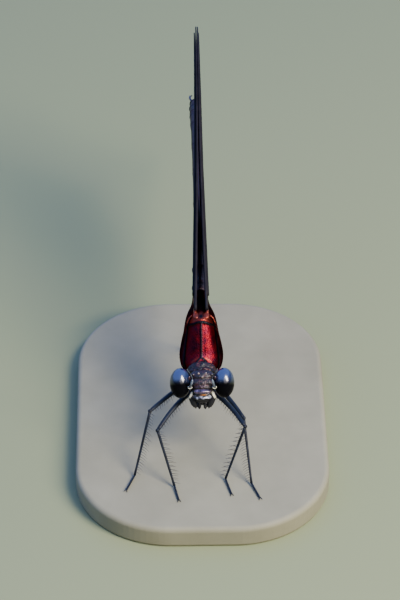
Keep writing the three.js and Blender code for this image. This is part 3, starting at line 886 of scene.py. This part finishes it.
def bristles(rng, limb, inward, length, count, lean, spread, strip):
    """Two rows of tapered bristles along a limb, leaning to its end, and each point's place on an unwrap."""
    limb = np.asarray(limb)
    along = (limb[-1] - limb[0]) / np.linalg.norm(limb[-1] - limb[0])
    inward = inward - along * (inward @ along)
    inward /= np.linalg.norm(inward)
    beside = np.cross(along, inward)
    shares = np.linspace(0, 1, len(limb))
    made, places = [], []
    for row in (-1, 1):
        for k in range(count):
            t = (k + 0.6 + 0.25 * row) / (count + 0.6)
            root = np.array([np.interp(t, shares, limb[:, axis]) for axis in range(3)])
            swing = row * spread + rng.uniform(-0.1, 0.1)
            way = inward * math.cos(swing) + beside * math.sin(swing)
            way = way + along * (lean + rng.uniform(-0.08, 0.08))
            way /= np.linalg.norm(way)
            reach = length * rng.uniform(0.82, 1.08) * (1 - 0.35 * abs(2 * t - 1) ** 2)
            path = [root, root + way * reach * 0.5, root + way * reach + along * reach * 0.12]
            made.append(rod(path, BRISTLE_RADII, 5))
            corner = np.array([strip + 0.45 * t, 0.5 + swing / (2 * math.pi)])
            grid = [(PATCH * i / 2, PATCH * j / 4) for i in range(3) for j in range(5)]
            places.append(corner + np.array(grid + [(0, PATCH / 2), (PATCH, PATCH / 2)]))
    return made, np.concatenate(places)


class DEMOISELLE_OT_legs(bpy.types.Operator):
    """Six thin legs with hips, bristles and claws"""

    bl_idname = "demoiselle.legs"
    bl_label = "Legs"

    def execute(self, context):
        settings = context.scene.demoiselle_legs
        tones = (0.3, settings.colour), (0.75, (0.008, 0.014, 0.026))
        finish = {"grain": GRAIN["leg"], "roughness": 0.42, "specular": 0.2}
        black = speckled("leg", *tones, scale=2.0, detail=5.0, **finish)
        tones = (0.3, (0.008, 0.008, 0.009)), (0.8, (0.04, 0.03, 0.026))
        hair = speckled("bristle", *tones, scale=3.0, coat=0.2)
        rng = random.Random(7)
        for name, places in LEGS.items():
            self.leg(name, places, settings, black, hair, rng)
        return {"FINISHED"}

    def leg(self, name, places, settings, black, hair, rng):
        """One leg from its hip to its claws."""
        hip, knee = (np.array(p) + HEAD for p in places[:2])
        ankle, toe = (np.array([*p, BASE_TOP_FROM_HEAD + FOOT_RADIUS]) + HEAD for p in places[2:])
        ankle[2] += ANKLE_RISE
        thigh, shin = settings.thigh / MM, settings.shin / MM
        sign = np.sign(hip[0])
        root = hip + np.array([HIP_TO_BODY[0] * sign, *HIP_TO_BODY[1:]])
        coxa = rod([root, root * 0.5 + hip * 0.5, hip], COXA_RADII, 24)
        bend = [hip + (root - hip) * 0.15, hip, hip + (knee - hip) * 0.08]
        out, rise = THIGH_BOW[name.split("_")[0]]
        bow = np.array([out * sign, 0.0, rise])
        shares = np.linspace(0, 1, THIGH_STEPS)
        upper = [hip + (knee - hip) * t + bow * math.sin(math.pi * t) for t in shares]
        upper_radii = thigh * np.interp(shares, *THIGH_SHAPE)
        shares = np.linspace(0, 1, SHIN_STEPS)
        lower = [knee + (ankle - knee) * t for t in shares]
        lower_radii = shin * np.interp(shares, *SHIN_SHAPE)
        parts = [coxa, rod(bend, TROCHANTER_RADII, 20), rod(upper, upper_radii, 20, 0.85)]
        parts.append(ball(beyond(knee), (0, 0, 0), (thigh * 0.86,) * 3, *SMALL_GRID))
        parts.append(rod(lower, lower_radii, 16))
        nodes = [f"{name}_{word}" for word in ("femur", "tibia", "tarsus")]
        add_piece(f"{name}_limb", *joined(parts + self.foot(ankle, toe)), black, "leg", nodes)
        length = settings.bristle / MM
        below, inward = np.array([-sign, -0.3, -1.4]), np.array([-sign, 0.0, -0.35])
        upper_rows, upper_places = bristles(
            rng, upper[2:-1], below, length * 0.75, count=13, lean=0.25, spread=0.35, strip=0.02
        )
        lower_rows, lower_places = bristles(
            rng, lower, inward, length, count=12, lean=0.3, spread=0.4, strip=0.52
        )
        piece = add_piece(f"{name}_bristles", *joined(upper_rows + lower_rows), hair, "leg")
        unwrapped(piece, np.concatenate([upper_places, lower_places]))

    def foot(self, ankle, toe):
        """Three short joints and a pair of hooked claws."""
        along = (toe - ankle) / np.linalg.norm(toe - ankle)
        beside = np.cross(along, [0, 0, 1.0])

        def claw_point(side, forward, up):
            return toe + np.outer(forward, along) + np.outer(side, beside) + np.outer(up, [0, 0, 1.0])

        parts = []
        for a, b in zip(FOOT_CUTS, FOOT_CUTS[1:]):
            ends = [ankle + (toe - ankle) * t for t in (a, a + 0.03, b - 0.02, b + 0.01)]
            parts.append(rod(ends, TOE_RADII, 12))
        return parts + [horn(claw_point, CLAW_ROWS, sign, 8) for sign in (-1, 1)]


SEGMENT_LENGTHS = (1.0, 2.6, 5.0, 5.4, 5.2, 4.8, 4.0, 2.2, 1.7, 1.1)
SEGMENT_RADII = (0.74, 0.7, 0.52, 0.47, 0.47, 0.49, 0.53, 0.6, 0.62, 0.56)
SEGMENT_FRONT = [(-0.12, 0.8), (0.0, 0.86), (0.12, 0.93), (0.3, 0.98), (0.5, 1.0)]  # place, swell
SEGMENT_HEM = [(-0.16, 1.05), (-0.06, 1.08), (-0.01, 1.04), (0.0, 0.9)]  # from the segment's end
BLUSH_RED = (0.5, 0.06, 0.08)
RING_POINTS = 40
ABDOMEN_ROOT = body_point(0, 11.8, -0.75)
ABDOMEN_SLOPES = (math.radians(5), math.radians(-6))
BLUSH_FROM = 26.5  # the red underside begins this far along the abdomen
UPPER_CLASPER = [
    # side, back, up, radius
    (0.26, -0.1, 0.12, 0.12),
    (0.42, 0.3, 0.2, 0.12),
    (0.56, 0.75, 0.2, 0.11),
    (0.52, 1.15, 0.14, 0.12),
    (0.34, 1.45, 0.06, 0.06),
]
LOWER_CLASPER = [(0.2, -0.1, -0.22, 0.11), (0.27, 0.3, -0.24, 0.09), (0.22, 0.7, -0.14, 0.04)]


class DEMOISELLE_OT_abdomen(bpy.types.Operator):
    """Ten jointed segments and the claspers"""

    bl_idname = "demoiselle.abdomen"
    bl_label = "Abdomen"

    def execute(self, context):
        settings = context.scene.demoiselle_cuticle
        long = sum(SEGMENT_LENGTHS)
        turn = (ABDOMEN_SLOPES[1] - ABDOMEN_SLOPES[0]) / long
        underside = np.cos(np.linspace(0, 2 * math.pi, RING_POINTS, endpoint=False)) < -0.35
        rings, seams, blush = [], [], []
        start = 0.0
        for length, radius in zip(SEGMENT_LENGTHS, SEGMENT_RADII):
            stations = SEGMENT_FRONT + [(length + d, swell) for d, swell in SEGMENT_HEM]
            stations += [(t * length, 1.0 - 0.03 * math.sin(math.pi * t)) for t in np.linspace(0.2, 0.85, 8)]
            for d, swell in sorted(stations):
                rings.append(self.ring(start + d, turn, radius * swell))
                edge = np.clip(1 - abs(d - length + 0.08) / 0.2, 0, 1) + np.clip(1 - (d + 0.12) / 0.3, 0, 1)
                seams.append(np.full(RING_POINTS, max(0.84, min(1.0, edge))))
                blush.append(underside * (start + d > BLUSH_FROM))
            start += length
        skin = copper_plates("tail copper", settings, metallic=0.6, coat=0.0, roughness=0.36)
        shader, tree = shader_of(skin), skin.node_tree
        copper = shader.inputs["Base Color"].links[0].from_socket
        red = blended(tree, attribute(tree, "blush"), copper, BLUSH_RED)
        tree.links.new(red, shader.inputs["Base Color"])
        seam = np.append(np.concatenate(seams), [1, 1])
        glow = np.append(np.concatenate(blush), [0, 0])
        nodes = [f"abdomen_{word}" for word in ("base", "front", "middle", "rear", "tip")]
        points, faces = skin_of(rings)
        add_piece("abdomen_segments", points, faces, skin, "abdomen_cuticle", nodes, seam=seam, blush=glow)
        self.claspers(settings, self.axis(long, turn)[0])
        return {"FINISHED"}

    def axis(self, distance, turn):
        """A point of the abdomen's line and the upright there."""
        first = ABDOMEN_SLOPES[0]
        now = first + turn * distance
        y = (math.sin(now) - math.sin(first)) / turn
        z = (math.cos(first) - math.cos(now)) / turn
        return ABDOMEN_ROOT + np.array([0, y, z]), np.array([0, -math.sin(now), math.cos(now)])

    def ring(self, distance, turn, radius):
        """One ring of the abdomen, with a low keel along the back."""
        point, up = self.axis(distance, turn)
        turns = np.linspace(0, 2 * math.pi, RING_POINTS, endpoint=False)[:, None]
        keel = 1 + 0.05 * np.exp(-((np.minimum(turns, 2 * math.pi - turns) / 0.12) ** 2))
        return point + radius * keel * (np.cos(turns) * up * 1.06 + np.sin(turns) * np.array([1.0, 0, 0]))

    def claspers(self, settings, end):
        """The upper pair curves in like tongs; the lower pair is short."""
        black = dark_cuticle("clasper", settings)
        for side, sign in SIDES.items():
            tongs = [horn(beyond(end), UPPER_CLASPER, sign, 14), horn(beyond(end), LOWER_CLASPER, sign, 12)]
            add_piece(f"clasper_{side}_tongs", *joined(tongs), black, "abdomen_cuticle", [f"clasper_{side}"])


DIRECTION = {"fore": math.radians(30), "hind": math.radians(27)}
ROOTS = {"fore": body_point(0, 6.7, 2.75), "hind": body_point(0, 9.0, 2.25)}
WING_ROOT_CHORD = 1.3
TIP_DROP = 3.6  # the tip lies this far below the leading line
BENDS_AT = 0.6  # shares of the span
WIDEST_AT = 0.63
TIP_SHARE = 0.9985
OPEN_AT = (-2, 0, 5, 10, 16, 22, 27, 33)  # distances along the forewing
FORE_OFF = (0.57, 0.53, 0.4, 0.27, 0.16, 0.11, 0.09, 0.08)  # the pairs' distances there from the middle
HIND_OFF = (0.72, 0.7, 0.6, 0.48, 0.34, 0.27, 0.22, 0.2)
PLEAT_DEPTH = 0.035
PLEATS = 9
STEMS = (0.0, 0.045, 0.085, 0.2, 0.36, 0.52, 0.68, 0.84, 1.0)  # main veins as shares of the chord
SPAN_STEPS = 110
CHORD_STEPS = 64
VEIN_STEPS = 70
VEIN_TAPER = ([0, 0.06, 0.7, 1], [1.3, 1.1, 0.85, 0.5])  # along, share of the radius
VEIN_RADIUS = {"leading": 0.12, "front": 0.06, "main": 0.046, "fine": 0.03, "cross": 0.024, "rung": 0.022}


def wing_margins(t):
    """Distances of the front and hind margins below the leading line at shares of the span."""
    t = np.asarray(t, float)
    forward = np.clip((t - BENDS_AT) / (1 - BENDS_AT), 0, 1)
    front = TIP_DROP * (1 - np.clip(1 - forward**2.2, 0, 1) ** (1 / 2.2))
    grown = np.sin(math.pi / 2 * np.clip(t / WIDEST_AT, 0, 1)) ** 1.15
    tail = np.clip((t - WIDEST_AT) / (1 - WIDEST_AT), 0, 1)
    full = WING_ROOT_CHORD + (bpy.context.scene.demoiselle_wings.chord / MM - WING_ROOT_CHORD) * grown
    shrink = np.where(t > WIDEST_AT, np.clip(1 - tail**2.5, 0, 1) ** (1 / 2.5), 1.0)
    return front, TIP_DROP + (full - TIP_DROP) * shrink


def wing_point(pair, sign, t, share, off=0.0):
    """A point of a wing's sheet at shares of its span and chord, pleated between its veins."""
    t, share = np.broadcast_arrays(np.asarray(t, float), np.asarray(share, float))
    length = bpy.context.scene.demoiselle_wings.length / MM - (pair == "hind")
    front, hind = wing_margins(t)
    down = front + (hind - front) * share
    angle = DIRECTION[pair]
    y = ROOTS[pair][1] + t * length * math.cos(angle) + down * math.sin(angle)
    z = ROOTS[pair][2] + t * length * math.sin(angle) - down * math.cos(angle)
    lead = DIRECTION["fore"]
    out = (y - ROOTS["fore"][1]) * math.cos(lead) + (z - ROOTS["fore"][2]) * math.sin(lead)
    layer = np.interp(out, OPEN_AT, FORE_OFF if pair == "fore" else HIND_OFF)
    pleat = PLEAT_DEPTH * np.sin(share * 2 * math.pi * PLEATS) * np.exp(-share * 2.2) * np.clip(t * 12, 0, 1)
    return np.stack([(layer + pleat + off) * sign, y, z], -1)


def vein_lines(cell):
    """Long veins as (share, start, end), new ones starting where two others have drawn apart."""
    lines = [(share, 0.0) for share in STEMS]
    sample = np.linspace(0.02, 0.9, 90)
    front, hind = wing_margins(sample)
    chord = hind - front

    def split(low, high, since):
        wide = (high - low) * chord
        found = [t for t, w in zip(sample, wide) if w > 1.7 * cell and t >= since]
        if not found:
            return
        middle, start = (low + high) / 2, found[0]
        lines.append((middle, start))
        split(low, middle, start)
        split(middle, high, start)

    for low, high in zip(STEMS, STEMS[1:]):
        split(low, high, 0.05)
    return sorted(lines)


def membrane_solid(pair, sign, thick):
    """The sheet between the veins, closed round its margin."""
    spans = np.sin(np.linspace(0, math.pi / 2, SPAN_STEPS)) * TIP_SHARE
    shares = np.linspace(0, 1, CHORD_STEPS)
    t, share = np.meshgrid(spans, shares, indexing="ij")
    inner = wing_point(pair, sign, t, share, -thick / 2).reshape(-1, 3)
    outer = wing_point(pair, sign, t, share, thick / 2).reshape(-1, 3)
    rows, wide, count = len(spans), len(shares), len(inner)
    faces = []
    for i in range(rows - 1):
        for j in range(wide - 1):
            a, b, c, d = i * wide + j, i * wide + j + 1, (i + 1) * wide + j + 1, (i + 1) * wide + j
            faces.append([a, b, c, d])
            faces.append([d + count, c + count, b + count, a + count])
    rim = list(range(wide)) + [i * wide + wide - 1 for i in range(1, rows)]
    rim += [(rows - 1) * wide + j for j in range(wide - 2, -1, -1)]
    rim += [i * wide for i in range(rows - 2, 0, -1)]
    for a, b in zip(rim, rim[1:] + rim[:1]):
        faces.append([b, a, a + count, b + count])
    return outward(np.concatenate([inner, outer]), faces)


def vein_radius(share):
    """Half the thickness of a long vein, stoutest at the leading edge."""
    if share == 0.0:
        return VEIN_RADIUS["leading"]
    if share < 0.1:
        return VEIN_RADIUS["front"]
    return VEIN_RADIUS["main" if share in STEMS else "fine"]


class DEMOISELLE_OT_wings(bpy.types.Operator):
    """Four veined wings closed over the back"""

    bl_idname = "demoiselle.wings"
    bl_label = "Wings"

    def execute(self, context):
        settings = context.scene.demoiselle_wings
        sheet = self.sheet_material(settings)
        tones = (0.3, (0.005, 0.004, 0.006)), (0.75, (0.013, 0.011, 0.015))
        dark = speckled("wing vein", *tones, scale=1.0, roughness=0.5, specular=0.12)
        cell = settings.cell / MM
        lines = vein_lines(cell)
        for pair in DIRECTION:
            for side, sign in SIDES.items():
                node = f"{pair}wing_{side}"
                solid = membrane_solid(pair, sign, settings.membrane / MM)
                add_piece(f"{node}_membrane", *solid, sheet, "wing", [node])
                add_piece(f"{node}_veins", *joined(self.veins(pair, sign, lines, cell)), dark, "wing")
        return {"FINISHED"}

    def sheet_material(self, settings):
        """Smoky brown membrane with a violet gleam."""
        tones = (0.3, settings.colour), (0.75, (0.045, 0.024, 0.017))
        finish = {"grain": GRAIN["wing"], "roughness": 0.42, "specular": 0.35}
        sheet = speckled("wing membrane", *tones, scale=0.35, detail=3.0, **finish)
        shader_of(sheet).inputs["Sheen Weight"].default_value = 0.15
        shader_of(sheet).inputs["Sheen Tint"].default_value = (0.35, 0.3, 0.7, 1.0)
        return sheet

    def veins(self, pair, sign, lines, cell):
        """Long veins, then the cross-veins between each neighbouring two."""
        parts = []
        length = bpy.context.scene.demoiselle_wings.length / MM
        for share, start in lines:
            spans = np.linspace(start, TIP_SHARE, max(10, int(VEIN_STEPS * (1 - start))))
            path = wing_point(pair, sign, spans, share)
            radii = vein_radius(share) * np.interp(spans, *VEIN_TAPER)
            parts.append(rod(path, radii, 8 if share < 0.1 else 5))
        pitch = cell * 0.95 / length
        for k, ((low, low_start), (high, high_start)) in enumerate(zip(lines, lines[1:])):
            start = max(low_start, high_start, 0.03)
            for n, t in enumerate(np.arange(start + pitch * (0.3 + 0.4 * (k % 2)), 0.985, pitch)):
                path = wing_point(pair, sign, [t, t + pitch * 0.06 * (-1) ** n], (low, high))
                parts.append(rod(path, VEIN_RADIUS["cross"], 4))
        parts += self.early_rungs(pair, sign, lines, pitch)
        return parts

    def early_rungs(self, pair, sign, lines, pitch):
        """Cross-veins between main veins before new ones start between them."""
        parts = []
        for low, high in zip(STEMS, STEMS[1:]):
            inside = sorted((start, share) for share, start in lines if low < share < high)
            stop = inside[0][0] if inside else 0.0
            for t in np.arange(0.05, stop, pitch * 1.1):
                rung = wing_point(pair, sign, [t, t], (low, high))
                parts.append(rod(rung, VEIN_RADIUS["rung"], 4))
        return parts


BASE_CORNER = 9.0  # radius of the plate's corners
BASE_EDGE = 0.5  # radius of its upper edge
BASE_FOOT = [(0.3, 0.0), (0.09, 0.09), (0.0, 0.3)]  # inset and height of the lower edge


class DEMOISELLE_OT_base(bpy.types.Operator):
    """The painted display base under the feet"""

    bl_idname = "demoiselle.base"
    bl_label = "Base"

    def execute(self, context):
        half_x, half_y, top = base_high
        levels = [*BASE_FOOT, (0.0, top - BASE_EDGE)]
        for a in np.linspace(0.2, math.pi / 2, 7):
            levels.append((BASE_EDGE - BASE_EDGE * math.cos(a), top - BASE_EDGE + BASE_EDGE * math.sin(a)))
        rings = []
        for inset, z in levels:
            ring = []
            for sx, sy, first in ((1, 1, 0), (-1, 1, 90), (-1, -1, 180), (1, -1, 270)):
                for turn in np.radians(np.linspace(first, first + 90, 25)):
                    x = sx * (half_x - BASE_CORNER) + math.cos(turn) * (BASE_CORNER - inset)
                    y = sy * (half_y - BASE_CORNER) + math.sin(turn) * (BASE_CORNER - inset)
                    ring.append((x, y, z))
            rings.append(ring)
        tones = (0.3, (0.21, 0.2, 0.125)), (0.7, (0.25, 0.24, 0.155))
        finish = {"grain": GRAIN["paint"], "roughness": 0.6, "specular": 0.3}
        paint = speckled("base paint", *tones, scale=0.25, detail=6.0, **finish)
        add_piece("stand_base_plate", *skin_of(rings), paint, "stand", ["stand_base"], smooth=False)
        return {"FINISHED"}


FLOOR_REACH = 2.0
SKY_TILT = (-0.25, 0.5, 1.0)
SKY_TONES = [(0.2, (0.03, 0.035, 0.03)), (0.5, (0.24, 0.38, 0.88)), (1.0, (0.2, 0.34, 0.95))]
SKY_STRENGTH = 1.9
LIGHTS = [
    # name, shape, place from the head in metres, size in metres, watts, colour
    ("window", "RECTANGLE", (0.16, -0.12, 0.2), (0.1, 0.2), 2.0, (1.0, 0.9, 0.8)),
    ("haze", "ELLIPSE", (0.1, -0.19, 0.17), (0.3, 0.22), 0.28, (1.0, 0.94, 0.86)),
]


class DEMOISELLE_OT_stage(bpy.types.Operator):
    """Camera, floor and soft lights"""

    bl_idname = "demoiselle.stage"
    bl_label = "Stage"

    def execute(self, context):
        self.camera(context.scene.demoiselle_view)
        self.floor()
        self.lights()
        return {"FINISHED"}

    def camera(self, view):
        """The camera looks down on the face, as far above the floor as the picture was taken."""
        c, s = math.cos(view.elevation), math.sin(view.elevation)
        ca, sa = math.cos(view.azimuth), math.sin(view.azimuth)
        back = Vector((sa * c, -ca * c, s))
        right = Vector((ca, sa, 0))
        up = back.cross(right)
        aim = Vector(HEAD * MM) + up * view.rise + right * view.drift
        data = bpy.data.cameras.new("camera")
        data.lens = view.lens
        data.clip_start, data.clip_end = 0.01, 10.0
        camera = self.aimed("camera", data, aim + back * view.distance, -back)
        bpy.context.scene.camera = camera

    def aimed(self, name, data, place, way):
        """A camera or a light at a place, looking a way."""
        shown = placed(name, data)
        shown.location = place
        shown.rotation_mode = "QUATERNION"
        shown.rotation_quaternion = way.to_track_quat("-Z", "Y")
        return shown

    def floor(self):
        """A plain pale floor that runs far back."""
        reach = FLOOR_REACH
        corners = [(-reach, -reach, 0), (reach, -reach, 0), (reach, reach, 0), (-reach, reach, 0)]
        mesh = bpy.data.meshes.new("floor")
        mesh.from_pydata(corners, [], [(0, 1, 2, 3)])
        paint = new_material("floor paint", (0.22, 0.25, 0.13), roughness=0.8, specular=0.1)[0]
        mesh.materials.append(paint)
        placed("floor", mesh)

    def lights(self):
        """A blue sky over a dark horizon, a warm window on the right and a soft glow beside it."""
        world = bpy.data.worlds.new("open sky")
        world.use_nodes = True
        tree = world.node_tree
        sky = tree.nodes["Background"]
        where = tree.nodes.new("ShaderNodeTexCoord")
        tilt = tree.nodes.new("ShaderNodeVectorMath")
        tilt.operation = "DOT_PRODUCT"
        tilt.inputs[1].default_value = SKY_TILT
        tree.links.new(where.outputs["Generated"], tilt.inputs[0])
        tree.links.new(ramp(tree, tilt.outputs["Value"], SKY_TONES), sky.inputs["Color"])
        sky.inputs["Strength"].default_value = SKY_STRENGTH
        bpy.context.scene.world = world
        target = Vector(HEAD * MM)
        for name, shape, place, size, power, colour in LIGHTS:
            data = bpy.data.lights.new(name, "AREA")
            data.shape = shape
            data.size, data.size_y = size
            data.energy = power
            data.color = colour
            light_place = target + Vector(place)
            self.aimed(name, data, light_place, target - light_place)


class DEMOISELLE_PT_panel(bpy.types.Panel):
    """The sidebar panel that lists the steps"""

    bl_label = "Copper Demoiselle"
    bl_idname = "DEMOISELLE_PT_panel"
    bl_space_type = "VIEW_3D"
    bl_region_type = "UI"
    bl_category = "Demoiselle"

    def draw(self, context):
        for step in STEPS:
            self.layout.operator(step.bl_idname)


STEPS = (
    DEMOISELLE_OT_stage,
    DEMOISELLE_OT_head,
    DEMOISELLE_OT_eyes,
    DEMOISELLE_OT_antennae,
    DEMOISELLE_OT_mouth,
    DEMOISELLE_OT_thorax,
    DEMOISELLE_OT_legs,
    DEMOISELLE_OT_abdomen,
    DEMOISELLE_OT_wings,
    DEMOISELLE_OT_base,
)
SETTINGS = {
    "demoiselle_view": ViewSettings,
    "demoiselle_wings": WingSettings,
    "demoiselle_cuticle": CuticleSettings,
    "demoiselle_legs": LegSettings,
}


def register():
    for group in SETTINGS.values():
        bpy.utils.register_class(group)
    for name, group in SETTINGS.items():
        setattr(bpy.types.Scene, name, bpy.props.PointerProperty(type=group))
    for step in (*STEPS, DEMOISELLE_PT_panel):
        bpy.utils.register_class(step)


def unregister():
    for step in (*STEPS, DEMOISELLE_PT_panel):
        bpy.utils.unregister_class(step)
    for name in SETTINGS:
        delattr(bpy.types.Scene, name)
    for group in SETTINGS.values():
        bpy.utils.unregister_class(group)


def main():
    register()
    for step in STEPS:
        group, name = step.bl_idname.split(".")
        getattr(getattr(bpy.ops, group), name)()


if __name__ == "__main__":
    main()
